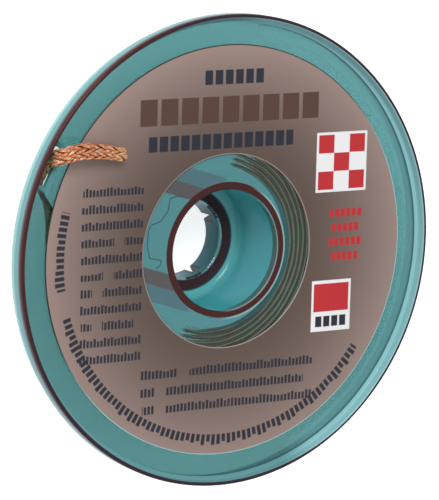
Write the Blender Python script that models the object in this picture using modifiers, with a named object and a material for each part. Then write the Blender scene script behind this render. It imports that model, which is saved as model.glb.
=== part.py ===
"""Desoldering braid on its clear plastic bobbin.

The bobbin lies on the end of its hub with the label up. The origin is at the middle of that end,
+Z is the hub's axis, and angles run from +X towards +Y as seen from above.
"""

import math

import bpy
from mathutils import Vector

MM = 0.001
GAP = 0.3 * MM

# Overall sizes
FRONT_R = 28.0 * MM
TOTAL_H = 13.7 * MM

# Front half: a web with a raised lip, a wide tube and a narrow snap nose
LIP_WIDTH = 0.5 * MM
LIP_HEIGHT = 1.25 * MM
WEB_THICKNESS = 0.6 * MM
BORE_R = 7.2 * MM
TUBE_WALL = 0.95 * MM
MOUTH_ROUND = 0.3 * MM
NOSE_HEIGHT = 3.5 * MM
SHOULDER_DEPTH = TOTAL_H - NOSE_HEIGHT
SHOULDER_WALL = 0.9 * MM
SHOULDER_ROUND = 1.0 * MM
NOSE_R = 4.65 * MM
NOSE_WALL = 1.1 * MM
NOSE_END_LIFT = 0.2 * MM
NOSE_SLOTS = 4
NOSE_SLOT_WIDTH = 0.9 * MM
NOSE_SLOT_HEIGHT = 2.2 * MM
BARB_REACH = 0.6 * MM
BARB_HEIGHT = 0.45 * MM

# Back half: a shallow pan, its rim, the drum that the braid is wound on and the snap ring
BACK_INSET = 0.4 * MM
BACK_R = FRONT_R - BACK_INSET
RIM_WALL = 0.5 * MM
RIM_DEPTH = 3.2 * MM
RIM_LAND = 0.25 * MM
DRUM_WALL = 1.05 * MM
DRUM_R = BORE_R + TUBE_WALL + GAP + DRUM_WALL
PAN_WALL = 0.8 * MM
PAN_SLOPE_RUN = 2.2 * MM
PAN_SIDE_WALL = 0.65 * MM
HUB_FOOT_ROUND = 0.4 * MM
LEDGE_THICKNESS = 0.7 * MM

# Label
LABEL_HOLE_R = 11.5 * MM
LABEL_MARGIN = 3.1 * MM
LABEL_R = FRONT_R - LIP_WIDTH - LABEL_MARGIN
LABEL_THICKNESS = 0.15 * MM
LABEL_LIFT = 0.1 * MM

# Braid
BRAID_WIDTH = 1.9 * MM
BRAID_THICKNESS = 0.4 * MM
TURN_PITCH = 0.64 * MM
TURN_COUNT = 16
TURN_GROOVE = 0.25 * MM
COIL_SEAT = 0.3 * MM
COIL_HEADROOM = 1.95 * MM

# The slot in the rim that the braid comes out of
EXIT_ANGLE = math.radians(172.2)
EXIT_SLOT_LENGTH = BRAID_WIDTH + 2.9 * MM
EXIT_SLOT_REACH = 2.1 * MM
EXIT_SLOT_INNER_R = FRONT_R - EXIT_SLOT_REACH

# The tail's own points: angle in degrees, radius and height over the lip's top in millimetres
TAIL_ROUTE = (
    (238.0, 20.65, -4.75),
    (226.0, 20.75, -4.70),
    (214.0, 21.05, -4.50),
    (203.0, 21.60, -4.20),
    (194.0, 22.15, -3.90),
    (187.5, 22.70, -3.68),
    (183.5, 23.30, -3.55),
    (181.0, 24.10, -3.45),
    (179.3, 24.95, -3.35),
    (177.6, 25.60, -3.15),
    (175.4, 26.02, -2.75),
    (173.2, 26.35, -2.15),
    (171.4, 26.60, -1.45),
    (170.4, 26.75, -0.75),
    (169.9, 26.75, -0.10),
    (169.3, 26.50, 0.42),
    (168.1, 26.00, 0.76),
    (166.5, 25.30, 0.86),
    (164.5, 24.05, 0.80),
    (162.1, 22.35, 0.55),
    (159.8, 20.60, 0.25),
    (157.6, 19.10, -0.05),
)
TAIL_POINTS = 64
TAIL_TURNS_FLAT_FROM = -1.2 * MM
TAIL_TURNS_FLAT_TO = 0.4 * MM
TAIL_LEAN = math.radians(22)
TAIL_LEANS_FROM_R = 23.5 * MM
TAIL_LEANS_TO_R = 25.5 * MM
TAIL_RIGHTS_FROM = -2.9 * MM
TAIL_RIGHTS_TO = -2.0 * MM

HALF_STEPS = 72
LABEL_STEPS = 72
COIL_STEPS = 40
MERGE = 0.00001

# Heights that follow from the sizes above
WEB_TOP = TOTAL_H - LIP_HEIGHT
WEB_UNDERSIDE = WEB_TOP - WEB_THICKNESS
SHOULDER_TOP = TOTAL_H - SHOULDER_DEPTH
SHOULDER_UNDERSIDE = SHOULDER_TOP - SHOULDER_WALL
TUBE_R = BORE_R + TUBE_WALL
NOSE_OUTER_R = NOSE_R + NOSE_WALL
BARB_R = NOSE_OUTER_R + BARB_REACH
BACK_TOP = WEB_UNDERSIDE - GAP
RIM_UNDERSIDE = TOTAL_H - RIM_DEPTH
PAN_FLOOR = WEB_UNDERSIDE - COIL_HEADROOM - BRAID_WIDTH - COIL_SEAT
PAN_UNDERSIDE = PAN_FLOOR - PAN_WALL
PAN_DROP = RIM_UNDERSIDE - PAN_UNDERSIDE
SLEEVE_R = TUBE_R + GAP
SNAP_FLOOR = SHOULDER_UNDERSIDE - GAP
SNAP_LEDGE = SNAP_FLOOR - LEDGE_THICKNESS
SNAP_HOLE_R = NOSE_OUTER_R + GAP
SNAP_POCKET_R = BARB_R + GAP
COIL_INNER_R = DRUM_R + GAP
COIL_OUTER_R = COIL_INNER_R + TURN_COUNT * TURN_PITCH
COIL_BOTTOM = PAN_FLOOR + COIL_SEAT
COIL_TOP = COIL_BOTTOM + BRAID_WIDTH


def clear_scene():
    for obj in list(bpy.data.objects):
        bpy.data.objects.remove(obj, do_unlink=True)


def new_collection(name):
    collection = bpy.data.collections.new(name)
    bpy.context.scene.collection.children.link(collection)
    return collection


def make_material(name, color, roughness, metallic=0.0, transmission=0.0):
    material = bpy.data.materials.new(name)
    material.use_nodes = True
    shader = material.node_tree.nodes["Principled BSDF"]
    shader.inputs["Base Color"].default_value = (*color, 1.0)
    shader.inputs["Roughness"].default_value = roughness
    shader.inputs["Metallic"].default_value = metallic
    shader.inputs["Transmission Weight"].default_value = transmission
    return material


def link_object(name, data, material, collection):
    obj = bpy.data.objects.new(name, data)
    collection.objects.link(obj)
    if material:
        data.materials.append(material)
    return obj


def turned(name, profile, steps, material, collection):
    """Turns a closed outline of (radius, height) points, outer side first and downwards, round +Z."""
    mesh = bpy.data.meshes.new(name)
    count = len(profile)
    edges = [(i, (i + 1) % count) for i in range(count)]
    mesh.from_pydata([(r, 0.0, z) for r, z in profile], edges, [])
    obj = link_object(name, mesh, material, collection)
    screw = obj.modifiers.new("Turn", "SCREW")
    screw.axis = "Z"
    screw.angle = 2 * math.pi
    screw.steps = steps
    screw.render_steps = steps
    screw.use_merge_vertices = True
    screw.merge_threshold = MERGE
    screw.use_smooth_shade = True
    return obj


def arc(center_r, center_z, radius, start, end, pieces=3):
    """Points of a quarter round in a turned outline, from one angle in degrees to another."""
    points = []
    for i in range(pieces + 1):
        angle = math.radians(start + (end - start) * i / pieces)
        points.append((center_r + radius * math.cos(angle), center_z + radius * math.sin(angle)))
    return points


def box_cutter(name, size, location, angle, collection):
    """A box, turned about +Z by an angle, that is only there to cut."""
    bpy.ops.mesh.primitive_cube_add(size=1.0)
    box = bpy.context.object
    box.name = name
    for vertex in box.data.vertices:
        vertex.co = Vector(a * b for a, b in zip(vertex.co, size))
    box.location = location
    box.rotation_euler = (0.0, 0.0, angle)
    for other in list(box.users_collection):
        other.objects.unlink(box)
    collection.objects.link(box)
    box.hide_render = True
    box.display_type = "WIRE"
    return box


def cut(obj, cutter):
    boolean = obj.modifiers.new(cutter.name, "BOOLEAN")
    boolean.operation = "DIFFERENCE"
    boolean.solver = "EXACT"
    boolean.object = cutter


def on_circle(angle, radius, height):
    return Vector((radius * math.cos(angle), radius * math.sin(angle), height))


def front_profile():
    """Lip, web, tube, shoulder and nose of the front half."""
    lip_round = LIP_WIDTH / 2
    barb_top = NOSE_END_LIFT + BARB_HEIGHT
    outer = arc(FRONT_R - lip_round, TOTAL_H - lip_round, lip_round, 90, 0)
    outer += [
        (FRONT_R, WEB_UNDERSIDE),
        (TUBE_R, WEB_UNDERSIDE),
        (TUBE_R, SHOULDER_UNDERSIDE),
        (NOSE_OUTER_R, SHOULDER_UNDERSIDE),
        (NOSE_OUTER_R, barb_top),
        (BARB_R, barb_top),
        (NOSE_OUTER_R, NOSE_END_LIFT),
        (NOSE_R, NOSE_END_LIFT),
        (NOSE_R, SHOULDER_TOP),
    ]
    fillet_r = BORE_R - SHOULDER_ROUND
    outer += arc(fillet_r, SHOULDER_TOP + SHOULDER_ROUND, SHOULDER_ROUND, -90, 0)
    outer += arc(BORE_R + MOUTH_ROUND, WEB_TOP - MOUTH_ROUND, MOUTH_ROUND, 180, 90)
    outer += [(FRONT_R - LIP_WIDTH, WEB_TOP)]
    outer += arc(FRONT_R - lip_round, TOTAL_H - lip_round, lip_round, 180, 120, 2)
    return outer


def make_front_half(material, collection, cutters):
    front = turned("front_half", front_profile(), HALF_STEPS, material, collection)
    for i in range(NOSE_SLOTS):
        angle = 2 * math.pi * (i + 0.5) / NOSE_SLOTS
        reach = BARB_R - NOSE_R + 2 * GAP
        size = (reach, NOSE_SLOT_WIDTH, NOSE_SLOT_HEIGHT + GAP)
        middle = on_circle(angle, (BARB_R + NOSE_R) / 2, 0.0)
        middle.z = NOSE_END_LIFT - GAP + size[2] / 2
        cut(front, box_cutter(f"nose_slot_{i + 1}", size, middle, angle, cutters))

    slot_outer_r = FRONT_R - LIP_WIDTH - GAP / 2
    size = (slot_outer_r - EXIT_SLOT_INNER_R, EXIT_SLOT_LENGTH, WEB_THICKNESS + 2 * GAP)
    middle_r = (slot_outer_r + EXIT_SLOT_INNER_R) / 2
    middle = on_circle(EXIT_ANGLE, middle_r, WEB_TOP - WEB_THICKNESS / 2)
    cut(front, box_cutter("exit_slot", size, middle, EXIT_ANGLE, cutters))
    return front


def back_profile():
    """Rim, sloping side, pan, drum and snap ring of the back half."""
    slope_r = BACK_R - PAN_SLOPE_RUN
    floor_share = PAN_WALL / PAN_DROP
    inner_slope_r = slope_r + PAN_SLOPE_RUN * floor_share - PAN_SIDE_WALL
    foot = HUB_FOOT_ROUND
    outline = [
        (BACK_R, BACK_TOP),
        (BACK_R, RIM_UNDERSIDE + foot),
        (BACK_R - foot, RIM_UNDERSIDE),
        (slope_r, PAN_UNDERSIDE),
        (DRUM_R + foot, PAN_UNDERSIDE),
        (DRUM_R, PAN_UNDERSIDE - foot),
        (DRUM_R, foot),
        (DRUM_R - foot, 0.0),
        (SNAP_POCKET_R, 0.0),
        (SNAP_POCKET_R, SNAP_LEDGE),
        (SNAP_HOLE_R, SNAP_LEDGE),
        (SNAP_HOLE_R, SNAP_FLOOR),
        (SLEEVE_R, SNAP_FLOOR),
        (SLEEVE_R, BACK_TOP),
        (DRUM_R, BACK_TOP),
        (DRUM_R, PAN_FLOOR),
        (inner_slope_r, PAN_FLOOR),
        (BACK_R - RIM_WALL, BACK_TOP - RIM_LAND),
        (BACK_R - RIM_WALL, BACK_TOP),
    ]
    return outline


def coil_profile():
    """The braid's turns, with a groove between each two on both ends."""
    top = []
    bottom = []
    for i in range(TURN_COUNT):
        inner = COIL_INNER_R + i * TURN_PITCH
        top.append((inner + TURN_PITCH / 2, COIL_TOP))
        bottom.append((inner + TURN_PITCH / 2, COIL_BOTTOM))
        if i < TURN_COUNT - 1:
            top.append((inner + TURN_PITCH, COIL_TOP - TURN_GROOVE))
            bottom.append((inner + TURN_PITCH, COIL_BOTTOM + TURN_GROOVE))
    outer = [(COIL_OUTER_R, COIL_TOP - TURN_GROOVE), (COIL_OUTER_R, COIL_BOTTOM + TURN_GROOVE)]
    inner = [(COIL_INNER_R, COIL_BOTTOM + TURN_GROOVE), (COIL_INNER_R, COIL_TOP - TURN_GROOVE)]
    return outer + bottom[::-1] + inner + top


def label_profile():
    bottom = WEB_TOP + LABEL_LIFT
    top = bottom + LABEL_THICKNESS
    return [(LABEL_R, top), (LABEL_R, bottom), (LABEL_HOLE_R, bottom), (LABEL_HOLE_R, top)]


def smooth_route(points, count):
    """Evenly spaced points on a smooth curve through the given ones."""
    fine = []
    last = len(points) - 1
    steps = 24
    for i in range(last):
        p0 = points[max(i - 1, 0)]
        p1 = points[i]
        p2 = points[i + 1]
        p3 = points[min(i + 2, last)]
        for k in range(steps):
            t = k / steps
            bend = 2 * p0 - 5 * p1 + 4 * p2 - p3
            twist = 3 * p1 - p0 - 3 * p2 + p3
            fine.append(0.5 * (2 * p1 + (p2 - p0) * t + bend * t * t + twist * t ** 3))
    fine.append(points[last])
    travelled = [0.0]
    for a, b in zip(fine, fine[1:]):
        travelled.append(travelled[-1] + (b - a).length)
    route = []
    k = 0
    for i in range(count):
        target = travelled[-1] * i / (count - 1)
        while k < len(fine) - 2 and travelled[k + 1] < target:
            k += 1
        share = (target - travelled[k]) / (travelled[k + 1] - travelled[k])
        route.append(fine[k].lerp(fine[k + 1], min(share, 1.0)))
    return route


def share_between(value, low, high):
    return min(max((value - low) / (high - low), 0.0), 1.0)


def tail_width_direction(point, along):
    """Across the braid: it leans along the sloping side, stands up in the slot and lies flat outside."""
    up = Vector((0.0, 0.0, 1.0))
    outward = Vector((point.x, point.y, 0.0))
    over_lip = point.z - TOTAL_H
    lean = TAIL_LEAN * share_between(outward.length, TAIL_LEANS_FROM_R, TAIL_LEANS_TO_R)
    lean *= 1.0 - share_between(over_lip, TAIL_RIGHTS_FROM, TAIL_RIGHTS_TO)
    flat = share_between(over_lip, TAIL_TURNS_FLAT_FROM, TAIL_TURNS_FLAT_TO)
    inside = outward.normalized() * math.cos(lean) - up * math.sin(lean)
    normal = inside * (1.0 - flat) + up * flat
    return along.cross(normal).normalized()


def make_tail(material, collection):
    corners = [on_circle(math.radians(a), r * MM, TOTAL_H + z * MM) for a, r, z in TAIL_ROUTE]
    route = smooth_route(corners, TAIL_POINTS)
    curve = bpy.data.curves.new("braid_tail", "CURVE")
    curve.dimensions = "3D"
    curve.twist_mode = "Z_UP"
    curve.extrude = (BRAID_WIDTH - BRAID_THICKNESS) / 2
    curve.bevel_depth = BRAID_THICKNESS / 2
    curve.bevel_resolution = 2
    curve.use_fill_caps = True
    spline = curve.splines.new("POLY")
    spline.points.add(TAIL_POINTS - 1)
    up = Vector((0.0, 0.0, 1.0))
    for i, point in enumerate(route):
        ahead = route[min(i + 1, TAIL_POINTS - 1)]
        behind = route[max(i - 1, 0)]
        along = (ahead - behind).normalized()
        untilted = (up - along * up.dot(along)).normalized()
        wanted = tail_width_direction(point, along)
        spline.points[i].co = (*point, 1.0)
        spline.points[i].tilt = math.atan2(along.dot(untilted.cross(wanted)), untilted.dot(wanted))
    return link_object("braid_tail", curve, material, collection)


def main():
    clear_scene()
    parts = new_collection("desoldering_braid")
    cutters = new_collection("cutters")
    clear_teal = make_material("clear_teal_plastic", (0.10, 0.33, 0.36), 0.08, transmission=0.8)
    clear_teal_back = make_material("clear_teal_back", (0.12, 0.38, 0.40), 0.08, transmission=0.8)
    foil = make_material("label_foil", (0.26, 0.18, 0.14), 0.45, metallic=0.3)
    copper = make_material("copper_braid", (0.60, 0.24, 0.10), 0.40, metallic=0.9)
    copper_end = make_material("copper_tail", (0.68, 0.30, 0.13), 0.38, metallic=0.9)

    make_front_half(clear_teal, parts, cutters)
    turned("back_half", back_profile(), HALF_STEPS, clear_teal_back, parts)
    turned("face_label", label_profile(), LABEL_STEPS, foil, parts)
    turned("braid_coil", coil_profile(), COIL_STEPS, copper, parts)
    make_tail(copper_end, parts)


main()
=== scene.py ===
# %% [markdown]
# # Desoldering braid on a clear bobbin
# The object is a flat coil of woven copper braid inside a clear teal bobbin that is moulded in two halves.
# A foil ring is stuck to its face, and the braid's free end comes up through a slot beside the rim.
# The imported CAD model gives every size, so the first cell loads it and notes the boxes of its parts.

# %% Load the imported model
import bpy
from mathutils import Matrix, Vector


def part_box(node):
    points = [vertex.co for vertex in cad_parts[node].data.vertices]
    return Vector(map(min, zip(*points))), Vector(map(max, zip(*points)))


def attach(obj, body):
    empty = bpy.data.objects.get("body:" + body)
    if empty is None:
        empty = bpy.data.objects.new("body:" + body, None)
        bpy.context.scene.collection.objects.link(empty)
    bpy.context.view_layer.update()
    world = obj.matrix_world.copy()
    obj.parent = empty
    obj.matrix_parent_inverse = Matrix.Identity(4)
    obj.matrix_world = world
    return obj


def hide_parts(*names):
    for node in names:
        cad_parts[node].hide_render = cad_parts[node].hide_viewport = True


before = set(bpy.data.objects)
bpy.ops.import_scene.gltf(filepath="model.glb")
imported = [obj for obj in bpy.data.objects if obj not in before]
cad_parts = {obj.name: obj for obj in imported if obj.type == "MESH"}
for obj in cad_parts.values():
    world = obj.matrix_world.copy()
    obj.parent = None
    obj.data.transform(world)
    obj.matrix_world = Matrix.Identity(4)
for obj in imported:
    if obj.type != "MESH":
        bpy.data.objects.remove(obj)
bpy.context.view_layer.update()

import math
import random

import bmesh
import bpy
from mathutils import Matrix, Vector

MM = 0.001
front_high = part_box("front_half")[1]
back_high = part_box("back_half")[1]
label_low, label_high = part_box("face_label")
coil_low, coil_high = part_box("braid_coil")
LIP_TOP = front_high.z / MM
FRONT_R = front_high.x / MM
print("lip top", round(LIP_TOP, 2), "mm, radius", round(FRONT_R, 2), "mm")

# %% [markdown]
# ## The camera
# A product photograph is taken from far away with a long lens, so the far side looks hardly smaller than
# the near one. The bobbin lies on the floor, and the camera leans 33 degrees off its axis and is rolled,
# which makes the round face an upright, slanting ellipse. A small shift of the lens does the framing.

# %% Place the camera
IMAGE_HEIGHT = 500
LEAN = math.radians(33.109)
ROLL = math.radians(16.265)
DISTANCE = 392.5 * MM
FOCAL_PIXELS = 3308.5
AIM = Vector((0.0, 0.0, LIP_TOP - 5.5)) * MM
AIM_PIXEL = (207.19, 245.19)
IMAGE_MIDDLE = (219.5, 250.0)

towards_camera = Vector((-math.sin(LEAN), 0.0, math.cos(LEAN)))
level_right = Vector((math.cos(LEAN), 0.0, math.sin(LEAN)))
level_up = towards_camera.cross(level_right)
right = level_right * math.cos(ROLL) + level_up * math.sin(ROLL)
up = towards_camera.cross(right)
camera_data = bpy.data.cameras.new("photo_view")
camera_data.sensor_fit = "VERTICAL"
camera_data.sensor_height = 24.0
camera_data.lens = FOCAL_PIXELS * camera_data.sensor_height / IMAGE_HEIGHT
camera_data.shift_x = (IMAGE_MIDDLE[0] - AIM_PIXEL[0]) / IMAGE_HEIGHT
camera_data.shift_y = (AIM_PIXEL[1] - IMAGE_MIDDLE[1]) / IMAGE_HEIGHT
camera_data.clip_start = 0.01
camera = bpy.data.objects.new("photo_view", camera_data)
bpy.context.scene.collection.objects.link(camera)
turn = Matrix((right, up, towards_camera)).transposed()
camera.matrix_world = Matrix.Translation(AIM + towards_camera * DISTANCE) @ turn.to_4x4()
bpy.context.scene.camera = camera
print("camera at", [round(c, 3) for c in camera.location])

# %% [markdown]
# ## The route of the loose end
# The braid leaves the outer turn, runs along the inside of the rim, climbs through the slot and bends over
# the face. The route is a list of given points, each an angle, a radius and a height over the lip.
# A smooth curve through them keeps the braid from looking like bent wire.

# %% Lay out the route
TAIL_ROUTE = (
    (238.0, 20.65, -4.75),
    (226.0, 20.75, -4.70),
    (214.0, 21.05, -4.50),
    (203.0, 21.60, -4.20),
    (194.0, 22.15, -3.90),
    (187.5, 22.70, -3.68),
    (183.5, 23.30, -3.55),
    (181.0, 24.10, -3.45),
    (179.3, 24.95, -3.35),
    (177.6, 25.60, -3.15),
    (175.4, 26.02, -2.75),
    (173.2, 26.35, -2.15),
    (171.4, 26.60, -1.45),
    (170.4, 26.75, -0.75),
    (169.9, 26.75, -0.10),
    (169.3, 26.50, 0.42),
    (168.1, 26.00, 0.76),
    (166.5, 25.30, 0.86),
    (164.5, 24.05, 0.80),
    (162.1, 22.35, 0.55),
    (159.8, 20.60, 0.25),
    (157.6, 19.10, -0.05),
)
CURVE_STEPS = 24


def on_circle(degrees, radius, height):
    """A point in metres from an angle, a radius and a height in millimetres."""
    angle = math.radians(degrees)
    return Vector((radius * math.cos(angle), radius * math.sin(angle), height)) * MM


def smooth_route(points, count):
    """Evenly spaced points on a smooth curve through the given ones."""
    fine = []
    last = len(points) - 1
    for i in range(last):
        p0 = points[max(i - 1, 0)]
        p1 = points[i]
        p2 = points[i + 1]
        p3 = points[min(i + 2, last)]
        for k in range(CURVE_STEPS):
            t = k / CURVE_STEPS
            bend = 2 * p0 - 5 * p1 + 4 * p2 - p3
            twist = 3 * p1 - p0 - 3 * p2 + p3
            fine.append(0.5 * (2 * p1 + (p2 - p0) * t + bend * t * t + twist * t ** 3))
    fine.append(points[last])
    travelled = [0.0]
    for a, b in zip(fine, fine[1:]):
        travelled.append(travelled[-1] + (b - a).length)
    route = []
    k = 0
    for i in range(count):
        target = travelled[-1] * i / (count - 1)
        while k < len(fine) - 2 and travelled[k + 1] < target:
            k += 1
        share = (target - travelled[k]) / (travelled[k + 1] - travelled[k])
        route.append(fine[k].lerp(fine[k + 1], min(share, 1.0)))
    return route, travelled[-1]


ROUTE_COUNT = 190
route_corners = [on_circle(a, r, LIP_TOP + z) for a, r, z in TAIL_ROUTE]
tail_route, tail_length = smooth_route(route_corners, ROUTE_COUNT)
print("loose end", round(tail_length / MM, 2), "mm long")

# %% [markdown]
# ## Weaving the loose end
# Desoldering braid is a tube of fine copper wires, plaited on a machine and rolled flat. Half of the
# strands wind one way round the tube and half the other, each going over two and under two. A pattern on a
# plain ribbon would look flat at this size, so every wire is modelled: a grid is wrapped round the path
# of each wire, which gives it clean rows of faces and a UV map along its length.

# %% Wrap a grid round a path
SEAM_DISTANCE = 1e-8


def wrapped_grid(bm, along, around, place, uv_layer, uv_at):
    """Adds a grid, moves each point to place(row, column), gives it uv_at(row, column) and closes it."""
    made = bmesh.ops.create_grid(bm, x_segments=along, y_segments=around, size=0.5)
    for vert in made["verts"]:
        row = round((vert.co.x + 0.5) * along)
        column = round((vert.co.y + 0.5) * around)
        for loop in vert.link_loops:
            loop[uv_layer].uv = uv_at(row, column)
        vert.co = place(row, column % around)
    bmesh.ops.remove_doubles(bm, verts=made["verts"], dist=SEAM_DISTANCE)


def new_piece(name, bm, sharp_degrees=35.0):
    """Turns a bmesh into a smooth-shaded object at the origin, sharp where its faces meet at an angle."""
    bmesh.ops.recalc_face_normals(bm, faces=bm.faces)
    mesh = bpy.data.meshes.new(name)
    bm.to_mesh(mesh)
    bm.free()
    mesh.shade_smooth()
    mesh.set_sharp_from_angle(angle=math.radians(sharp_degrees))
    piece = bpy.data.objects.new(name, mesh)
    bpy.context.scene.collection.objects.link(piece)
    return piece


# %% Find which way the braid's flat faces
BRAID_WIDTH = (coil_high.z - coil_low.z) / MM
TAIL_LEAN = math.radians(22)
LEANS_FROM_R = 23.5
LEANS_TO_R = 25.5
TURNS_FLAT_FROM = -1.2
TURNS_FLAT_TO = 0.4
RIGHTS_FROM = -2.9
RIGHTS_TO = -2.0


def share_between(value, low, high):
    return min(max((value - low) / (high - low), 0.0), 1.0)


def braid_frames(route):
    """At each point of the route: the point, the way across the braid and the way out of its flat."""
    frames = []
    last = len(route) - 1
    for i, point in enumerate(route):
        along = (route[min(i + 1, last)] - route[max(i - 1, 0)]).normalized()
        outward = Vector((point.x, point.y, 0.0))
        over_lip = point.z / MM - LIP_TOP
        lean = TAIL_LEAN * share_between(outward.length / MM, LEANS_FROM_R, LEANS_TO_R)
        lean *= 1.0 - share_between(over_lip, RIGHTS_FROM, RIGHTS_TO)
        flat = share_between(over_lip, TURNS_FLAT_FROM, TURNS_FLAT_TO)
        inside = outward.normalized() * math.cos(lean) - Vector((0.0, 0.0, math.sin(lean)))
        wanted = inside * (1.0 - flat) + Vector((0.0, 0.0, flat))
        across = along.cross(wanted).normalized()
        frames.append((point, across, across.cross(along).normalized()))
    return frames


tail_frames = braid_frames(tail_route)
print("braid", round(BRAID_WIDTH, 2), "mm wide")

# %% [markdown]
# The strands are laid out on the flattened tube, unrolled: one coordinate runs along the braid and one
# round it. A strand that winds one way meets the other family at even steps, and a cosine of the two
# strand numbers says which of them lies on top, so that the weave fits together by itself.

# %% Weave the wires
STRANDS_EACH_WAY = 8
WIRES_IN_STRAND = 4
WIRE_R = 0.05
WIRE_SIDES = 5
WIRE_SPACING = 0.082
WEAVE_DEPTH = 0.08
SKIN_R = 0.14
NARROWEST = 0.84
NARROWS_FROM = 0.86
NARROWS_TO = 0.95
STRAND_DOME = 0.02
CROWN_STEEPNESS = 2.2
SWAY = 0.05
WANDER = 0.012
BRAID_AROUND = 2 * (BRAID_WIDTH - 2 * WIRE_R - WEAVE_DEPTH - 2 * SKIN_R) + 2 * math.pi * SKIN_R
STRAND_LEAN = math.radians(22)
STRAND_CELL = BRAID_AROUND / STRANDS_EACH_WAY


def round_the_edge(angle, middle):
    """A point on a round edge of the flattened tube, and the way out there."""
    side_out = math.cos(angle)
    height_out = math.sin(angle)
    return middle + SKIN_R * side_out, SKIN_R * height_out, side_out, height_out


def round_the_braid(distance):
    """Where a distance round the flattened tube lies: across, out of the flat, and the way out there."""
    edge = math.pi * SKIN_R
    flat = BRAID_AROUND / 2 - edge
    distance %= BRAID_AROUND
    if distance < flat:
        return flat / 2 - distance, SKIN_R, 0.0, 1.0
    distance -= flat
    if distance < edge:
        return round_the_edge(math.pi / 2 + distance / SKIN_R, -flat / 2)
    distance -= edge
    if distance < flat:
        return distance - flat / 2, -SKIN_R, 0.0, -1.0
    distance -= flat
    return round_the_edge(-math.pi / 2 + distance / SKIN_R, flat / 2)


def wire_path(strand, wire, direction, wander):
    """The points of one wire, over and under the strands that wind the other way, and how high it lies."""
    points = []
    step = tail_length / MM / (ROUTE_COUNT - 1)
    in_strand = wire - (WIRES_IN_STRAND - 1) / 2
    beside = in_strand * WIRE_SPACING / math.cos(STRAND_LEAN)
    domed = STRAND_DOME * (1.0 - (in_strand / 1.5) ** 2)
    for i, (point, across, out) in enumerate(tail_frames):
        travelled = i * step
        sway = SWAY * math.sin(travelled * 0.9 + strand * 2.4 + direction)
        distance = strand * STRAND_CELL + direction * travelled * math.tan(STRAND_LEAN) + beside + sway
        met = (distance + direction * travelled * math.tan(STRAND_LEAN)) / STRAND_CELL
        crown = math.cos(math.pi / 2 * (met + strand) + math.pi / 4)
        crown = math.tanh(CROWN_STEEPNESS * crown) * direction
        side, height, side_out, height_out = round_the_braid(distance)
        lift = WEAVE_DEPTH * crown + domed + WANDER * math.sin(travelled * 2.3 + wander)
        side += side_out * lift + WANDER * math.sin(travelled * 1.7 + wander * 3)
        height += height_out * lift
        near_end = share_between(i / (ROUTE_COUNT - 1), NARROWS_FROM, NARROWS_TO)
        side *= 1.0 - (1.0 - NARROWEST) * near_end
        points.append((point + (across * side + out * height) * MM, 0.5 + 0.5 * crown))
    return points


def add_wire(bm, points, radius, uv_layer, shade):
    """Wraps a tube round a wire's points; its UV map holds its tone, with painted highlight, and its height.
    """
    last = len(points) - 1
    rings = []
    for i, (point, _) in enumerate(points):
        along = (points[min(i + 1, last)][0] - points[max(i - 1, 0)][0]).normalized()
        side = along.orthogonal().normalized() if not rings else rings[-1][1]
        side = (side - along * side.dot(along)).normalized()
        rings.append((point, side, along.cross(side)))

    def place(row, column):
        point, side, over = rings[row]
        angle = 2 * math.pi * column / WIRE_SIDES
        return point + (side * math.cos(angle) + over * math.sin(angle)) * radius * MM

    wrapped_grid(bm, last, WIRE_SIDES, place, uv_layer, lambda row, column: (shade, points[row][1]))


draw = random.Random(7)
bm = bmesh.new()
uv_layer = bm.loops.layers.uv.new("wire")
for direction in (1, -1):
    for strand in range(STRANDS_EACH_WAY):
        strand_shade = draw.random()
        for wire in range(WIRES_IN_STRAND):
            path = wire_path(strand, wire, direction, draw.uniform(0, 6.28))
            # A wire's tone varies at random; the two middle wires of a strand also get a painted highlight.
            shade = 0.45 * strand_shade + 0.35 * draw.random() + (0.2 if wire in (1, 2) else 0.0)
            add_wire(bm, path[:ROUTE_COUNT - draw.randint(0, 3)], WIRE_R, uv_layer, shade)
loose_braid = new_piece("loose_braid", bm, sharp_degrees=180)
print("loose end has", len(loose_braid.data.polygons), "faces")

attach(loose_braid, "root")
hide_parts("braid_tail")

# %% [markdown]
# ## Floor and light
# The photograph is a high-key product picture: white all round, soft light from every side and from below,
# as on a light table. A pale floor that glows a little gives the clear plastic the same even white behind
# it, and one broad lamp gives the copper and the foil a side to shine from.

# %% Make the floor
FLOOR_REACH = 1.5
bm = bmesh.new()
bmesh.ops.create_grid(bm, x_segments=8, y_segments=8, size=FLOOR_REACH)
floor = new_piece("pale_floor", bm)

# %% Light the scene
ROOM_LIGHT = 0.62
LAMP_SIZE = 0.35
LAMP_POWER = 4.5
LAMP_PLACE = Vector((-0.42, 0.38, 0.62))
world = bpy.data.worlds.new("studio")
world.use_nodes = True
world.node_tree.nodes["Background"].inputs["Color"].default_value = (1.0, 1.0, 1.0, 1.0)
world.node_tree.nodes["Background"].inputs["Strength"].default_value = ROOM_LIGHT
bpy.context.scene.world = world
lamp_data = bpy.data.lights.new("soft_lamp", "AREA")
lamp_data.size = LAMP_SIZE
lamp_data.energy = LAMP_POWER
lamp = bpy.data.objects.new("soft_lamp", lamp_data)
bpy.context.scene.collection.objects.link(lamp)
lamp.matrix_world = Matrix.Translation(LAMP_PLACE) @ LAMP_PLACE.to_track_quat("Z", "Y").to_matrix().to_4x4()
bpy.context.scene.view_settings.view_transform = "Standard"

# %% [markdown]
# ## Writing materials as sums
# A material's pattern is easier to read as arithmetic than as a web of nodes. The small class below holds
# one output of a node. Sums and products of it add Math nodes, and one method adds any other node.

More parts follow.
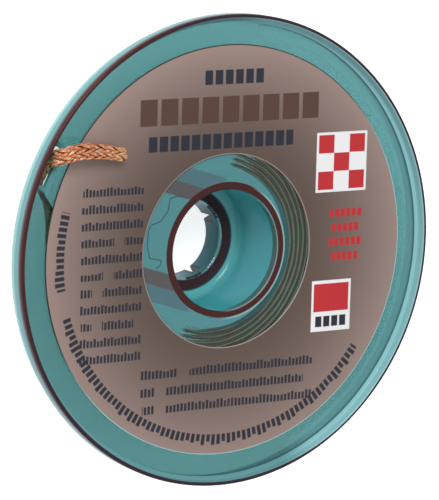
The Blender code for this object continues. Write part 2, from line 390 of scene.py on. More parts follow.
# %% A class for one output of a node
class Value:
    """One output of a shader node, which can be used in sums and products."""

    def __init__(self, output):
        self.output = output

    def node(self, kind, settings=None, inputs=None, output=0):
        """Adds a node to the same material: its settings first, then the values or links of its sockets."""
        tree = self.output.id_data
        new = tree.nodes.new("ShaderNode" + kind)
        for name, setting in (settings or {}).items():
            setattr(new, name, setting)
        for name, value in (inputs or {}).items():
            if isinstance(value, Value):
                tree.links.new(value.output, new.inputs[name])
            else:
                new.inputs[name].default_value = value
        return Value(new.outputs[output])

    def math(self, operation, *others):
        return self.node("Math", {"operation": operation}, dict(enumerate((self, *others))))

    def __add__(self, other):
        return self.math("ADD", other)

    __radd__ = __add__

    def __sub__(self, other):
        return self.math("SUBTRACT", other)

    def __rsub__(self, other):
        return (self * -1.0) + other

    def __mul__(self, other):
        return self.math("MULTIPLY", other)

    __rmul__ = __mul__

    def __truediv__(self, other):
        return self.math("DIVIDE", other)


def rise(value, start, end):
    """0 up to start, 1 from end on, and a smooth step between them."""
    sockets = {"Value": value, "From Min": start, "From Max": end}
    return value.node("MapRange", {"interpolation_type": "SMOOTHSTEP"}, sockets)


def between(value, low, high, soft):
    """1 from low to high and 0 outside, with soft edges."""
    return rise(value, low - soft, low + soft) * (1.0 - rise(value, high - soft, high + soft))


def mix_colors(mask, under, over):
    """The colour over where the mask is 1, and the colour under where it is 0."""
    under = under if isinstance(under, Value) else (*under, 1.0)
    over = over if isinstance(over, Value) else (*over, 1.0)
    return mask.node("Mix", {"data_type": "RGBA"}, {0: mask, 6: under, 7: over}, output=2)


def srgb(red, green, blue):
    """A colour as a picture editor gives it, 0 to 255, in the linear light that shaders use."""
    shares = [channel / 255 for channel in (red, green, blue)]
    return tuple(s / 12.92 if s <= 0.04045 else ((s + 0.055) / 1.055) ** 2.4 for s in shares)


def new_material(name):
    """An empty material, and the place on the piece in millimetres."""
    material = bpy.data.materials.new(name)
    material.use_nodes = True
    tree = material.node_tree
    tree.nodes.clear()
    coordinates = Value(tree.nodes.new("ShaderNodeTexCoord").outputs["Object"])
    place = coordinates.node("VectorMath", {"operation": "SCALE"}, {0: coordinates, "Scale": 1 / MM})
    return material, place


def finish_material(material, shader):
    tree = material.node_tree
    output = tree.nodes.new("ShaderNodeOutputMaterial")
    tree.links.new(shader.output, output.inputs["Surface"])
    return material


def split(place):
    """The x, y and z of a place."""
    return [place.node("SeparateXYZ", None, {0: place}, output=k) for k in range(3)]


def noise(place, scale, detail=2.0):
    return place.node("TexNoise", None, {"Vector": place, "Scale": scale, "Detail": detail})


# %% Finish the floor
def floor_finish():
    """Pale matt paper that is lit a little from behind."""
    material, place = new_material("pale_paper")
    fibres = noise(place, 0.6, 4.0)
    color = mix_colors(fibres, (0.66, 0.66, 0.66), (0.72, 0.72, 0.72))
    bump = place.node("Bump", None, {"Strength": 0.05, "Distance": 0.0002, "Height": fibres})
    sockets = {
        "Base Color": color,
        "Roughness": 0.8,
        "Specular IOR Level": 0.2,
        "Emission Color": (1.0, 1.0, 1.0, 1.0),
        "Emission Strength": 0.74,
        "Normal": bump,
    }
    return finish_material(material, place.node("BsdfPrincipled", None, sockets))


floor.data.materials.append(floor_finish())

# %% [markdown]
# ## Clear teal plastic
# The bobbin is clear plastic, dyed teal. Light that crosses a wall comes out teal, and light that runs
# along a wall comes out deep maroon. Bent light through such thin walls is noisy to render, so the light
# goes straight through here: each surface tints it once. Masks paint the maroon edges, the pale zones and
# the lines that bent light would have drawn, and a little gloss lies over it all.

# %% A finish for clear walls
GLASSY = 0.04
GLASSY_AT_EDGE = 0.7
SOLID_DULLS = 0.85


def clear_finish(place, tint, stains):
    """Tinted straight-through plastic; stains are pairs of a mask and the colour that shows in it."""
    flow = noise(place, 0.35, 3.0)
    bump = place.node("Bump", None, {"Strength": 0.08, "Distance": 0.0003, "Height": flow})
    through = place.node("BsdfTransparent", None, {"Color": (*tint, 1.0)})
    solid = None
    color = None
    for mask, stain in stains:
        color = mix_colors(mask, color or stain, stain)
        solid = mask if solid is None else solid.math("MAXIMUM", mask)
    sockets = {"Base Color": color, "Roughness": 0.35, "Specular IOR Level": 0.1, "Normal": bump}
    body = place.node("BsdfPrincipled", None, sockets)
    wall = place.node("MixShader", None, {0: solid, 1: through, 2: body})
    facing = place.node("LayerWeight", None, {"Blend": 0.5}, output=1)
    shine = facing.math("POWER", 5.0) * (GLASSY_AT_EDGE - GLASSY) + GLASSY
    shine = shine * (1.0 - solid * SOLID_DULLS)
    gloss = place.node("BsdfGlossy", None, {"Color": (1, 1, 1, 1), "Roughness": 0.04, "Normal": bump})
    return place.node("MixShader", None, {0: shine, 1: wall, 2: gloss})


# %% Turn a profile
BEVEL_STEPS = 4


def turned_shell(name, corners, steps):
    """Turns an outline of (radius, height, rounding) corners, in millimetres, round the bobbin's axis."""
    bm = bmesh.new()
    verts = [bm.verts.new(Vector((r, 0.0, z)) * MM) for r, z, _ in corners]
    bm.faces.new(verts)
    rounding = {vert: corner[2] for vert, corner in zip(verts, corners)}
    for size in sorted({r for r in rounding.values() if r}):
        at = [vert for vert in verts if vert.is_valid and rounding[vert] == size]
        bmesh.ops.bevel(
            bm,
            geom=at,
            offset=size * MM,
            offset_type="OFFSET",
            affect="VERTICES",
            segments=BEVEL_STEPS,
            profile=0.5,
            material=-1,
        )
    bmesh.ops.delete(bm, geom=list(bm.faces), context="FACES_ONLY")
    outline = list(bm.verts) + list(bm.edges)
    bmesh.ops.spin(
        bm,
        geom=outline,
        cent=(0.0, 0.0, 0.0),
        axis=(0.0, 0.0, 1.0),
        angle=2 * math.pi,
        steps=steps,
        use_merge=True,
    )
    bmesh.ops.remove_doubles(bm, verts=bm.verts, dist=1e-7)
    return new_piece(name, bm)


def cut_box(piece, size, middle, degrees):
    """Cuts a box, turned about the bobbin's axis, out of a piece; sizes are in millimetres."""
    bm = bmesh.new()
    bmesh.ops.create_cube(bm, size=1.0)
    turn = Matrix.Translation(middle) @ Matrix.Rotation(math.radians(degrees), 4, "Z")
    bmesh.ops.transform(bm, matrix=turn @ Matrix.Diagonal((*[s * MM for s in size], 1.0)), verts=bm.verts)
    cutter = new_piece("cutter", bm)
    boolean = piece.modifiers.new("cut", "BOOLEAN")
    boolean.operation = "DIFFERENCE"
    boolean.solver = "EXACT"
    boolean.object = cutter
    bpy.context.view_layer.update()
    evaluated = piece.evaluated_get(bpy.context.evaluated_depsgraph_get())
    old = piece.data
    piece.data = bpy.data.meshes.new_from_object(evaluated)
    piece.modifiers.clear()
    bpy.data.meshes.remove(old)
    bpy.data.objects.remove(cutter)


# %% [markdown]
# ## The front half
# One moulding: a round web with a raised lip, a wide tube down from its middle, a shoulder at the tube's
# end and a split nose that snaps into the back half. A turned outline with rounded corners gives all of
# it, and boxes cut the slots. The sizes repeat the CAD model's.

# %% Shape the front half
WALL = 0.6
LIP_HEIGHT = 1.25
LIP_WIDTH = 0.5
BORE_R = 7.2
TUBE_R = 8.15
BORE_DEPTH = 10.2
SHOULDER_TOP = LIP_TOP - BORE_DEPTH
SHOULDER_THICKNESS = 0.9
SHOULDER_UNDERSIDE = SHOULDER_TOP - SHOULDER_THICKNESS
NOSE_R = 4.65
NOSE_OUTER_R = 5.75
BARB_R = 6.35
NOSE_END = 0.2
BARB_TOP = 0.65
WEB_TOP = LIP_TOP - LIP_HEIGHT
WEB_UNDERSIDE = WEB_TOP - WALL
FULL_TURN_STEPS = 160

front_shell = turned_shell(
    "front_shell",
    (
        (FRONT_R, LIP_TOP, 0.22),
        (FRONT_R, WEB_UNDERSIDE, 0.1),
        (TUBE_R, WEB_UNDERSIDE, 0.2),
        (TUBE_R, SHOULDER_UNDERSIDE, 0.3),
        (NOSE_OUTER_R, SHOULDER_UNDERSIDE, 0.15),
        (NOSE_OUTER_R, BARB_TOP, 0.0),
        (BARB_R, BARB_TOP, 0.06),
        (NOSE_OUTER_R, NOSE_END, 0.1),
        (NOSE_R, NOSE_END, 0.15),
        (NOSE_R, SHOULDER_TOP, 0.3),
        (BORE_R, SHOULDER_TOP, 1.0),
        (BORE_R, WEB_TOP, 0.3),
        (FRONT_R - LIP_WIDTH, WEB_TOP, 0.12),
        (FRONT_R - LIP_WIDTH, LIP_TOP, 0.22),
    ),
    FULL_TURN_STEPS,
)
SNAP_SLOTS = 4
SNAP_SLOT_SIZE = (2.4, 0.9, 2.6)
SNAP_SLOT_HEIGHT = 0.95
for i in range(SNAP_SLOTS):
    degrees = 45.0 + 90.0 * i
    middle = on_circle(degrees, (BARB_R + NOSE_R) / 2, SNAP_SLOT_HEIGHT)
    cut_box(front_shell, SNAP_SLOT_SIZE, middle, degrees)
SLOT_DEGREES = 172.2
SLOT_MIDDLE_R = 26.625
SLOT_SIZE = (1.45, 4.8, 1.2)
cut_box(front_shell, SLOT_SIZE, on_circle(SLOT_DEGREES, SLOT_MIDDLE_R, WEB_TOP - WALL / 2), SLOT_DEGREES)
front_shell.data.shade_smooth()
front_shell.data.set_sharp_from_angle(angle=math.radians(35))
print("front half has", len(front_shell.data.polygons), "faces")

# %% Name the colours that show in the clear plastic
MAROON = srgb(68, 33, 32)
DEEP_MAROON = srgb(58, 14, 22)
SLATE_MAROON = srgb(50, 34, 46)
GREY_BROWN = srgb(86, 86, 96)
EDGE_TEAL = srgb(102, 154, 158)
HUB_TEAL = srgb(80, 136, 141)
SLATE = srgb(80, 106, 116)
BROWN_GREY = srgb(90, 78, 80)
BORE_TEAL = srgb(52, 160, 168)
BORE_PALE = srgb(82, 164, 173)
CRESCENT_TEAL = srgb(84, 178, 184)
NOSE_TEAL = srgb(24, 84, 98)
LATCH_TEAL = srgb(52, 78, 88)
RING_TEAL = srgb(96, 156, 160)
SINGLE_WALL_TEAL = srgb(146, 196, 201)
DARK_TEAL = srgb(40, 90, 95)
REFLECTED_COIL = srgb(76, 90, 82)
HIGHLIGHT_LINE = srgb(160, 196, 196)
NAVY = srgb(24, 30, 44)
LINE = 0.05


def line_between(x, y, start, end):
    """1 on a thin straight line between two places in the bobbin's plane, in millimetres."""
    along = Vector(end) - Vector(start)
    length = along.length
    along /= length
    run = (x - start[0]) * along.x + (y - start[1]) * along.y
    off = ((y - start[1]) * along.x - (x - start[0]) * along.y).math("ABSOLUTE")
    return (1.0 - rise(off, LINE, LINE * 2)) * between(run, 0.0, length, LINE)


def latch_lines(x, y):
    """Painted lines: the moulded latch's outline as bent light shows it through the web beside the hub."""
    corners = ((-7.75, 4.75), (-8.75, 4.44), (-9.5, 3.95), (-9.29, 2.51), (-9.91, 1.09), (-11.02, 0.35))
    corners += ((-11.1, -0.37), (-10.7, -2.01), (-9.93, -3.35), (-8.3, -3.2), (-8.22, -3.71), (-8.65, -4.3))
    lines = None
    for start, end in zip(corners, corners[1:]):
        line = line_between(x, y, start, end)
        lines = line if lines is None else lines.math("MAXIMUM", line)
    return lines


# %% Paint the rim, the ring round the label and the slot
SLOT_COS = math.cos(math.radians(SLOT_DEGREES))
SLOT_SIN = math.sin(math.radians(SLOT_DEGREES))


def ring_stains(x, y, z, radius):
    """The edge, the web round the slot, and the zone on the far side where only one wall shows."""
    on_web = rise(z, WEB_TOP - 0.1, WEB_TOP - 0.05)
    edge_band = rise(radius, FRONT_R - 1.0, FRONT_R - 0.92)
    edge_band = edge_band * rise(z, WEB_UNDERSIDE - 0.05, WEB_UNDERSIDE) * 0.95
    along_slot = x * SLOT_COS + y * SLOT_SIN
    beside_slot = (y * SLOT_COS - x * SLOT_SIN).math("ABSOLUTE")
    slot_surround = between(along_slot, 25.4, 27.5, 0.3) * (1.0 - rise(beside_slot, 2.6, 3.2)) * 0.9
    slot_surround = slot_surround * (1.0 - rise(z, LIP_TOP - 0.4, LIP_TOP - 0.3))
    toward = rise((x * 0.9 + y * 0.44) / radius, 0.15, 0.35)
    inside_zone = between(radius, 25.4, 26.86, 0.3) * on_web * toward * 0.6
    single_wall = rise(radius, 26.95, 27.05) * on_web * toward * 0.92
    zone_line = between(radius, 26.84, 26.97, 0.03) * on_web * toward * 0.75
    return (
        (edge_band, EDGE_TEAL),
        (slot_surround, HUB_TEAL),
        (inside_zone, RING_TEAL),
        (single_wall, SINGLE_WALL_TEAL),
        (zone_line, DARK_TEAL),
    )


def lip_stains(x, y, z, radius):
    """The lip is maroon edge on; it shows narrower and darker on the far and the low side."""
    upper_right = rise((x * 0.75 + y * 0.66) / radius, -0.25, 0.35)
    low_side = rise(y * -1.0 / radius, 0.3, 0.8)
    narrowed = radius - upper_right * 0.15 - low_side * 0.08
    lip = rise(narrowed, FRONT_R - 0.56, FRONT_R - 0.5) * rise(z, LIP_TOP - 0.58, LIP_TOP - 0.5)
    wall_outside = rise(radius, FRONT_R - 0.1, FRONT_R - 0.05)
    below_lip = wall_outside * between(z, LIP_TOP - 0.85, LIP_TOP - 0.5, 0.04) * 0.85
    return (
        (below_lip, GREY_BROWN),
        (lip, MAROON),
        (lip * upper_right.math("MAXIMUM", low_side), SLATE_MAROON),
    )


# %% Paint the hub
HUB_WEB_R = 11.5
COIL_EDGE_R = 9.6
COIL_EDGE_SHIFT = 1.66


def web_stains(x, y, z, radius):
    """The web round the tube: teal where the coil doesn't show through, two bands and the painted latch
    outline.
    """
    left = 1.0 - rise(x, -3.2, -2.2)
    aside = y.math("ABSOLUTE")
    hub_web = between(radius, TUBE_R, HUB_WEB_R, 0.03) * rise(z, WEB_TOP - 0.1, WEB_TOP - 0.05)
    shifted = x + COIL_EDGE_SHIFT
    from_edge = (shifted * shifted + y * y).math("SQRT")
    clear_of_coil = 1.0 - rise(from_edge, COIL_EDGE_R - 0.1, COIL_EDGE_R + 0.1)
    return (
        (hub_web * left.math("MAXIMUM", clear_of_coil) * 0.93, HUB_TEAL),
        (hub_web * left * between(aside, 6.2, 8.15, 0.12) * 0.8, SLATE),
        (hub_web * left * between(aside, 4.5, 6.25, 0.12) * 0.9, BROWN_GREY),
        # Painted lines of bent light: the latch's outline seen through the web.
        (hub_web * latch_lines(x, y) * 0.85, LATCH_TEAL),
    )


def tube_stains(x, y, z, radius):
    """The tube's end is maroon, its rim has a painted highlight, and the bore's mouth a painted highlight or
    dark line.
    """
    far = rise((x * 0.8 - y * 0.6) / radius, 0.1, 0.7)
    right = rise(x, 0.5, 4.0)
    at_end = rise(z, WEB_TOP - 0.3, WEB_TOP - 0.2)
    tube_end = between(radius + far * 0.2, BORE_R + 0.1, TUBE_R + 0.03, 0.03) * at_end
    rim_highlight = between(radius, TUBE_R - 0.14, TUBE_R + 0.06, 0.03) * rise(z, WEB_TOP - 0.1, WEB_TOP - 0.05)
    mouth = between(radius, BORE_R + 0.02, BORE_R + 0.12, 0.03) * at_end
    return (
        (tube_end, MAROON),
        # Painted highlights on the right side: along the tube's rim and at the bore's mouth.
        (rim_highlight * right * 0.75, HIGHLIGHT_LINE),
        (mouth * right * 0.5, HIGHLIGHT_LINE),
        (mouth * (1.0 - right) * 0.9, NAVY),
    )


def bore_stains(x, y, z, radius):
    """The bore's wall, and the coil's reflection in its upper edge."""
    bore = between(radius, BORE_R - 0.1, BORE_R + 0.05, 0.02)
    bore_wall = bore * between(z, SHOULDER_TOP + 0.9, WEB_TOP - 0.3, 0.1) * 0.88
    mirror = bore * rise(x, 2.0, 4.5) * between(z, WEB_TOP - 0.95, WEB_TOP - 0.25, 0.06) * 0.9
    mirror_line = bore * rise(x, 1.0, 3.5) * between(z, WEB_TOP - 1.08, WEB_TOP - 0.96, 0.05) * 0.85
    return (
        (bore_wall, BORE_TEAL),
        (bore_wall * rise(x, 3.8, 5.2) * (1.0 - rise(y, 2.5, 5.5)), BORE_PALE),
        (mirror, REFLECTED_COIL),
        (mirror_line, NAVY),
    )


def nose_stains(x, y, z, radius):
    """The shoulder at the bore's lower end, and the split nose below it."""
    low = between(z, SHOULDER_TOP - 0.1, SHOULDER_TOP + 1.2, 0.05)
    nose_low = 1.0 - rise(z, SHOULDER_TOP - 0.3, SHOULDER_TOP - 0.1)
    one_slot = ((x + y) * math.sqrt(0.5)).math("ABSOLUTE")
    other_slot = ((x - y) * math.sqrt(0.5)).math("ABSOLUTE")
    slot_edges = between(one_slot, 0.3, 0.7, 0.04).math("MAXIMUM", between(other_slot, 0.3, 0.7, 0.04))
    return (
        (nose_low * (1.0 - rise(radius, NOSE_R + 0.1, NOSE_R + 0.2)) * 0.96, NOSE_TEAL),
        (slot_edges * nose_low * (1.0 - rise(z, 2.4, 2.5)) * 0.9, NAVY),
        (between(radius, 6.3, BORE_R + 0.1, 0.05) * low * 0.75, CRESCENT_TEAL),
        (between(radius, NOSE_R + 0.3, 6.15, 0.06) * low * 0.97, DEEP_MAROON),
        (between(radius, 6.05, 6.32, 0.04) * low * 0.9, NAVY),
    )


# %% Put the front half's finish together
FRONT_TINT = (0.41, 0.59, 0.61)


def front_finish():
    material, place = new_material("clear_teal_front")
    x, y, z = split(place)
    radius = (x * x + y * y).math("SQRT")
    stains = ()
    for paint in (ring_stains, bore_stains, nose_stains, web_stains, tube_stains, lip_stains):
        stains += paint(x, y, z, radius)
    return finish_material(material, clear_finish(place, FRONT_TINT, stains))


front_shell.data.materials.append(front_finish())
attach(front_shell, "root")
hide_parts("front_half")

# %% [markdown]
# ## The back half
# A shallow pan with a steep side, a rim that meets the front half, and the drum that the braid is wound
# on, which runs on behind the pan as the foot that the bobbin lies on.

# %% Shape the back half
BACK_R = back_high.x / MM
BACK_TOP = back_high.z / MM
RIM_DEPTH = 3.2
RIM_UNDERSIDE = LIP_TOP - RIM_DEPTH
PAN_DEPTH = 3.6
PAN_UNDERSIDE = RIM_UNDERSIDE - PAN_DEPTH
PAN_FLOOR_THICKNESS = 0.8
PAN_FLOOR = PAN_UNDERSIDE + PAN_FLOOR_THICKNESS
PAN_SLOPE_RUN = 2.2
PAN_INSIDE_RUN = 2.36
BACK_WALL = 0.5
DRUM_R = 9.5
RUNNING_GAP = 0.3
SLEEVE_R = TUBE_R + RUNNING_GAP
SNAP_FLOOR = SHOULDER_UNDERSIDE - RUNNING_GAP
SNAP_LEDGE = SNAP_FLOOR - 0.7

back_shell = turned_shell(
    "back_shell",
    (
        (BACK_R, BACK_TOP, 0.08),
        (BACK_R, RIM_UNDERSIDE, 0.4),
        (BACK_R - PAN_SLOPE_RUN, PAN_UNDERSIDE, 0.5),
        (DRUM_R, PAN_UNDERSIDE, 0.4),
        (DRUM_R, 0.0, 0.4),
        (BARB_R + RUNNING_GAP, 0.0, 0.15),
        (BARB_R + RUNNING_GAP, SNAP_LEDGE, 0.1),
        (NOSE_OUTER_R + RUNNING_GAP, SNAP_LEDGE, 0.1),
        (NOSE_OUTER_R + RUNNING_GAP, SNAP_FLOOR, 0.1),
        (SLEEVE_R, SNAP_FLOOR, 0.2),
        (SLEEVE_R, BACK_TOP, 0.1),
        (DRUM_R, BACK_TOP, 0.2),
        (DRUM_R, PAN_FLOOR, 0.25),
        (BACK_R - PAN_INSIDE_RUN, PAN_FLOOR, 0.5),
        (BACK_R - BACK_WALL, RIM_UNDERSIDE + PAN_FLOOR_THICKNESS, 0.25),
        (BACK_R - BACK_WALL, BACK_TOP, 0.08),
    ),
    FULL_TURN_STEPS,
)
print("back half has", len(back_shell.data.polygons), "faces")


# %% Finish the back half
BACK_TINT = (0.69, 0.86, 0.84)
BACK_WALL_TEAL = srgb(112, 172, 172)
DRUM_PALE = srgb(206, 240, 238)
RIM_LINE_TEAL = srgb(44, 96, 100)


def back_finish():
    material, place = new_material("clear_teal_back")
    x, y, z = split(place)
    radius = (x * x + y * y).math("SQRT")
    rim_line = rise(radius, BACK_R - 0.16, BACK_R - 0.12) * rise(z, BACK_TOP - 0.12, BACK_TOP - 0.06)
    drum_top = between(radius, SLEEVE_R - 0.05, DRUM_R + 0.05, 0.03)
    drum_top = drum_top * rise(z, BACK_TOP - 0.3, BACK_TOP - 0.2)
    foot = between(radius, BARB_R, DRUM_R, 0.1) * (1.0 - rise(z, 0.1, 0.5))
    outer_wall = rise(radius, BACK_R - 0.25, BACK_R - 0.15)
    stains = (
        (outer_wall * 0.6, BACK_WALL_TEAL),
        (foot * 0.4, MAROON),
        (drum_top * 0.9, DRUM_PALE),
        (rim_line * 0.85, RIM_LINE_TEAL),
    )
    return finish_material(material, clear_finish(place, BACK_TINT, stains))


back_shell.data.materials.append(back_finish())
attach(back_shell, "root")
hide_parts("back_half")

# %% [markdown]
# ## The foil label
# A thin ring of satin foil, with painted shade that makes it dull brown beside the hub and a painted sheen
# that makes it paler towards its outer edge. Its print is a plain layout of strokes, bars and blocks in
# navy, brown, red and white, drawn as masks in the label's own two directions. It holds no words.

# %% Shape the label
LABEL_R = label_high.x / MM
LABEL_HOLE_R = 11.5
LABEL_TOP = label_high.z / MM
LABEL_BOTTOM = label_low.z / MM
label = turned_shell(
    "printed_label",
    (
        (LABEL_R, LABEL_TOP, 0.05),
        (LABEL_R, LABEL_BOTTOM, 0.03),
        (LABEL_HOLE_R, LABEL_BOTTOM, 0.03),
        (LABEL_HOLE_R, LABEL_TOP, 0.05),
    ),
    FULL_TURN_STEPS,
)


# %% Name the shapes of the print
ROWS_TURN = math.radians(17.5)
EDGE = 0.05
PRINT_RED = srgb(184, 32, 38)
PRINT_WHITE = srgb(230, 230, 232)
PRINT_BROWN = srgb(80, 52, 42)


def block(across, upward, middle, size):
    """A rectangle in the label's own directions, in millimetres."""
    inside_across = between(across, middle[0] - size[0] / 2, middle[0] + size[0] / 2, EDGE)
    return inside_across * between(upward, middle[1] - size[1] / 2, middle[1] + size[1] / 2, EDGE)


def blocks(across, upward, middle, size, pitch, gap):
    """A rectangle that is cut into equal blocks."""
    step = ((across - middle[0] + size[0] / 2) / pitch).math("FRACT")
    edge = gap / pitch / 2
    return block(across, upward, middle, size) * between(step, edge, 1.0 - edge, EDGE / pitch)


def strokes(along, upward, bottom, pitch, stroke, word, fill, seed):
    """Rows of short upright strokes in groups of uneven length, as a plain stand-in for small print."""
    row = (upward - bottom) / pitch
    level = row.math("FLOOR")
    group = (along / word).math("FLOOR")
    step = along / stroke
    group_key = group.node("CombineXYZ", None, {0: group, 1: level, 2: seed})
    stroke_key = step.node("CombineXYZ", None, {0: step.math("FLOOR"), 1: level, 2: seed + 0.5})
    chance = group_key.node("TexWhiteNoise", {"noise_dimensions": "3D"}, {"Vector": group_key})
    height = stroke_key.node("TexWhiteNoise", {"noise_dimensions": "3D"}, {"Vector": stroke_key})
    printed = 1.0 - rise(chance, fill - 0.01, fill + 0.01)
    share = row.math("FRACT")
    tall = rise(share, 0.2, 0.26) * (1.0 - rise(share - height * 0.18, 0.56, 0.62))
    wide = between(step.math("FRACT"), 0.14, 0.82, 0.1)
    return printed * tall * wide


# %% Lay out the print
FOIL_SHADE = srgb(97, 80, 73)
FOIL_SHEEN = srgb(164, 141, 134)
FOIL_GRAIN = srgb(112, 94, 86)
EDGE_SHADOW = srgb(62, 44, 44)
EDGE_HIGHLIGHT = srgb(170, 208, 206)
HOLE_HIGHLIGHT = srgb(172, 160, 154)
CURVED_TEXT_R = 22.6
CHECKS = 3
CHECK_SIZE = 2.2


def navy_print(across, upward, radius, angle):
    """Small print beside and below the hub, a curved row at the edge and two bars above the hub."""
    left_rows = between(across, -19.8, -11.6, EDGE) * between(upward, -12.4, 9.2, EDGE)
    low_rows = between(across, -11.5, 12.5, EDGE) * between(upward, -19.4, -13.1, EDGE)
    navy = strokes(across, upward, -12.5, 1.95, 0.46, 1.4, 0.86, 3.0) * left_rows
    navy = navy.math("MAXIMUM", strokes(across, upward, -19.2, 2.1, 0.5, 1.6, 0.9, 5.0) * low_rows)
    curved = between(radius, 21.7, 23.6, EDGE) * between(angle, -3.1, -0.3, 0.004)
    curved = curved * strokes(angle * CURVED_TEXT_R, radius, 21.4, 2.4, 0.72, 3.2, 0.9, 9.0)
    navy = navy.math("MAXIMUM", curved)
    navy = navy.math("MAXIMUM", blocks(across, upward, (-1.2, 13.1), (20.0, 1.8), 1.45, 0.3))
    return navy.math("MAXIMUM", blocks(across, upward, (0.4, 20.6), (8.4, 1.7), 1.4, 0.35))


def red_print(across, upward):
    """A chequered square, four short rows and a plain block."""
    red = block(across, upward, (14.9, -6.6), (5.0, 3.4))
    for i in range(CHECKS):
        for j in range(CHECKS):
            if (i + j) % 2 == 0:
                middle = (13.6 + CHECK_SIZE * i, 7.6 + CHECK_SIZE * j)
                red = red.math("MAXIMUM", block(across, upward, middle, (CHECK_SIZE, CHECK_SIZE)))
    for i in range(4):
        bar = blocks(across, upward, (16.6, 3.6 - 1.75 * i), (4.8 - 0.8 * (i % 2), 1.0), 0.8, 0.2)
        red = red.math("MAXIMUM", bar)
    return red


def edge_lines(x, y, radius, color):
    """Painted lines: a shadow on the outer edge's near side, a highlight on its far side and one round the
    hole.
    """
    far = rise((x * 0.8 - y * 0.6) / radius, -0.3, 0.3)
    # Painted shadow and highlight lines at the foil's outer edge and round its hole.
    outer_line = rise(radius, LABEL_R - 0.14, LABEL_R - 0.1)
    color = mix_colors(outer_line, color, mix_colors(far, EDGE_SHADOW, EDGE_HIGHLIGHT))
    inner_line = 1.0 - rise(radius, LABEL_HOLE_R + 0.08, LABEL_HOLE_R + 0.14)
    return mix_colors(inner_line * 0.8, color, HOLE_HIGHLIGHT)


# %% Print the label
def label_finish():
    material, place = new_material("satin_foil")
    x, y, _ = split(place)
    radius = (x * x + y * y).math("SQRT")
    angle = y.math("ARCTAN2", x)
    across = x * math.cos(ROWS_TURN) + y * math.sin(ROWS_TURN)
    upward = y * math.cos(ROWS_TURN) - x * math.sin(ROWS_TURN)
    grain = noise(place, 9.0, 3.0)
    # Painted shade darkens the foil beside the hub and a painted sheen lightens it towards its outer edge.
    outside = ((radius - LABEL_HOLE_R) / (LABEL_R - LABEL_HOLE_R)).math("MAXIMUM", 0.0).math("POWER", 1.5)
    color = mix_colors(outside, FOIL_SHADE, FOIL_SHEEN)
    color = mix_colors(grain * 0.15, color, FOIL_GRAIN)

    navy = navy_print(across, upward, radius, angle)
    brown = blocks(across, upward, (0.0, 16.8), (25.0, 3.1), 2.78, 0.5)
    red = red_print(across, upward)
    white = block(across, upward, (15.8, 9.8), (7.2, 7.2))
    white = white.math("MAXIMUM", block(across, upward, (14.9, -7.6), (5.6, 6.2)))
    lower_navy = blocks(across, upward, (14.9, -9.5), (4.6, 1.3), 1.15, 0.25)
    prints = ((brown, PRINT_BROWN), (navy, NAVY), (white, PRINT_WHITE), (red, PRINT_RED), (lower_navy, NAVY))
    for mask, ink in prints:
        color = mix_colors(mask, color, ink)
    color = edge_lines(x, y, radius, color)
    inked = navy.math("MAXIMUM", white).math("MAXIMUM", red).math("MAXIMUM", brown)
    bump = place.node("Bump", None, {"Strength": 0.12, "Distance": 0.0001, "Height": grain + inked * 0.6})
    sockets = {
        "Base Color": color,
        "Metallic": 0.35 - inked * 0.35,
        "Roughness": grain * 0.2 + 0.34,
        "Normal": bump,
    }
    return finish_material(material, place.node("BsdfPrincipled", None, sockets))


label.data.materials.append(label_finish())
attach(label, "root")
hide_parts("face_label")

# %% [markdown]
# ## The wound braid
# The braid lies on edge in a single spiral round the drum, about one and a half metres of it. The ribbon
# is a grid, wrapped round a flat section and laid on the spiral. Its UV map is close to millimetres, so a
# woven pattern follows it round every turn. Its inner end shows beside the hub as a rounded stub.

# %% Wind the braid
DRUM_SEAT = 0.3
TURN_PITCH = 0.64
RIBBON_THICKNESS = 0.36
SWING_TURNS = 0.6
SECTION_LENGTH = 4.4
COIL_MIDDLE_R = 15.0
WHOLE_TURNS = 15
STUB_SHARE = 0.35
STUB_STEPS = 3.0
SECTION_SQUARENESS = 4.0
INNER_END_DEGREES = 109.0
STEPS_IN_TURN = 96
SECTION = 16
joins_at = TAIL_ROUTE[0]
coil_turns = WHOLE_TURNS + (INNER_END_DEGREES + 360.0 - joins_at[0]) / 360.0
coil_steps = round(coil_turns * STEPS_IN_TURN)
inner_r = DRUM_R + DRUM_SEAT + RIBBON_THICKNESS / 2 + 0.03
coil_middle = (coil_low.z + coil_high.z) / 2 / MM


def spiral_point(step):
    """Angle in degrees and radius in millimetres; the last part of a turn swings out to the loose end."""
    turned = step / STEPS_IN_TURN
    plain = inner_r + TURN_PITCH * turned
    outer = inner_r + TURN_PITCH * coil_turns
    swing = share_between(turned, coil_turns - SWING_TURNS, coil_turns)
    swing = swing * swing * (3 - 2 * swing)
    return INNER_END_DEGREES - 360.0 * turned, plain + swing * (joins_at[1] - outer)


def section_point(column):
    """A point of the ribbon's section: (outwards, upwards), a flat shape with round edges."""
    angle = 2 * math.pi * column / SECTION
    square = SECTION_SQUARENESS
    reach = (abs(math.cos(angle)) ** square + abs(math.sin(angle)) ** square) ** (-1 / square)
    return (
        reach * math.cos(angle) * RIBBON_THICKNESS / 2,
        reach * math.sin(angle) * BRAID_WIDTH / 2,
    )


def coil_place(row, column):
    degrees, radius = spiral_point(row)
    out, high = section_point(column)
    stub = min(1.0, STUB_SHARE + row / STUB_STEPS)
    ripple = 0.02 * math.sin(row * 0.9) + 0.015 * math.sin(row * 0.37 + 1.0)
    return on_circle(degrees, radius + out * stub + ripple, coil_middle + high * stub)


def coil_uv(row, column):
    return row / STEPS_IN_TURN * 2 * math.pi * COIL_MIDDLE_R, column / SECTION * SECTION_LENGTH


bm = bmesh.new()
uv_layer = bm.loops.layers.uv.new("braid")
wrapped_grid(bm, coil_steps, SECTION, coil_place, uv_layer, coil_uv)
bmesh.ops.holes_fill(bm, edges=bm.edges, sides=SECTION)
wound_braid = new_piece("wound_braid", bm, sharp_degrees=60)
print("wound braid has", len(wound_braid.data.polygons), "faces")
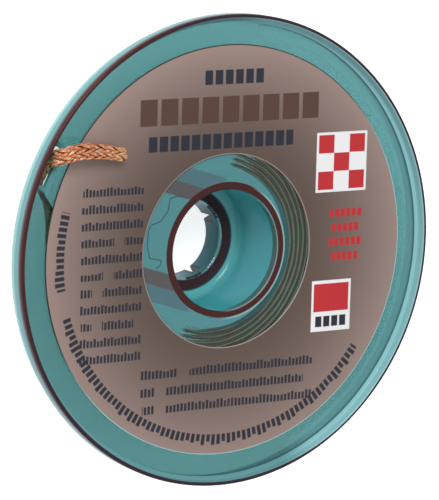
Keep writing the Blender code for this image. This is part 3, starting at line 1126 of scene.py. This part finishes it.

# %% [markdown]
# ## Copper
# The wires are bright copper under a thin coat of flux, so they shine warmly. Painted shade darkens them
# where they dip under each other and painted highlights lighten their high points. On the wound turns the
# weave is a pattern of two families of slanting strands.


# %% Finish the copper
DULL_RED = srgb(150, 78, 62)
DULL_COPPER = srgb(196, 112, 92)
COPPER_PALE = srgb(246, 200, 150)
DULL_GREEN = srgb(150, 120, 84)
INNER_FACE = srgb(140, 120, 92)
CORNER_HIGHLIGHT = srgb(252, 236, 200)
WOUND_GLOW = 0.35
WIRE_DARK = srgb(188, 102, 58)
WIRE_LIGHT = srgb(232, 162, 116)
CREST_HIGHLIGHT = srgb(255, 226, 200)
END_GOLD = srgb(242, 200, 136)
DIP_SHADE = srgb(112, 54, 22)
OLIVE_DARK = srgb(64, 60, 44)
OLIVE_LIGHT = srgb(150, 140, 92)


def wound_finish():
    """Dull copper with a painted glow in its dark channel and painted highlights on the turns' inner
    corners.
    """
    material, place = new_material("wound_copper")
    uv = place.node("UVMap", {"uv_map": "braid"})
    along, around, _ = split(uv)
    share = around / SECTION_LENGTH
    one_way = (along * 1.1 + around * 2.2).math("SINE")
    other_way = (along * 1.1 - around * 2.2).math("SINE")
    weave = one_way.math("MAXIMUM", other_way)
    fine = noise(place, 7.0, 3.0)
    slow = noise(place, 0.45, 2.0)
    color = mix_colors(rise(weave, -0.4, 0.9), DULL_RED, DULL_COPPER)
    color = mix_colors(rise(fine, 0.55, 0.8) * 0.4, color, COPPER_PALE)
    color = mix_colors(rise(slow, 0.42, 0.6) * 0.7, color, DULL_GREEN)
    # Painted highlight along each turn's inner top corner.
    color = mix_colors(between(share, 0.335, 0.4, 0.015) * 0.85, color, CORNER_HIGHLIGHT)
    color = mix_colors(between(share, 0.42, 0.6, 0.02) * 0.6, color, INNER_FACE)
    bump = place.node("Bump", None, {"Strength": 0.3, "Distance": 0.0001, "Height": weave + fine * 0.5})
    sockets = {
        "Base Color": color,
        "Metallic": 0.5,
        "Roughness": fine * 0.2 + 0.35,
        # A painted glow: the copper emits a little light so that it shows brighter in its dark channel.
        "Emission Color": color,
        "Emission Strength": WOUND_GLOW,
        "Normal": bump,
    }
    return finish_material(material, place.node("BsdfPrincipled", None, sockets))


def loose_finish():
    """Bright wires with painted highlights and shade in the dips, a golden cut end, painted olive shade
    below the lip.
    """
    material, place = new_material("loose_copper")
    x, y, z = split(place)
    uv = place.node("UVMap", {"uv_map": "wire"})
    shade, high, _ = split(uv)
    fine = noise(place, 4.0, 3.0)
    color = mix_colors(shade, WIRE_DARK, WIRE_LIGHT)
    # Painted highlight: the wires' high points are lightened in patches.
    crest = rise(high, 0.8, 1.0) * rise(fine, 0.46, 0.6)
    color = mix_colors(crest * 0.75, color, CREST_HIGHLIGHT)
    near_end = rise(x, -20.5, -17.5) * rise(z, LIP_TOP - 1.5, LIP_TOP - 1.0)
    color = mix_colors(near_end * 0.55, color, END_GOLD)
    # Painted shade: the wires darken where they dip under the other strands.
    color = mix_colors((1.0 - rise(high, 0.25, 0.6)) * 0.85, color, DIP_SHADE)
    # Painted shade: below the lip the braid turns olive, as if in the lip's shadow, lighter on its high
    # points.
    in_shade = 1.0 - rise(z, LIP_TOP - 0.5, LIP_TOP - 0.1)
    color = mix_colors(in_shade * 0.8, color, mix_colors(high, OLIVE_DARK, OLIVE_LIGHT))
    bump = place.node("Bump", None, {"Strength": 0.2, "Distance": 0.00005, "Height": fine})
    sockets = {"Base Color": color, "Metallic": 0.55, "Roughness": fine * 0.15 + 0.3, "Normal": bump}
    return finish_material(material, place.node("BsdfPrincipled", None, sockets))


wound_braid.data.materials.append(wound_finish())
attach(wound_braid, "root")
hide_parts("braid_coil")
loose_braid.data.materials.append(loose_finish())
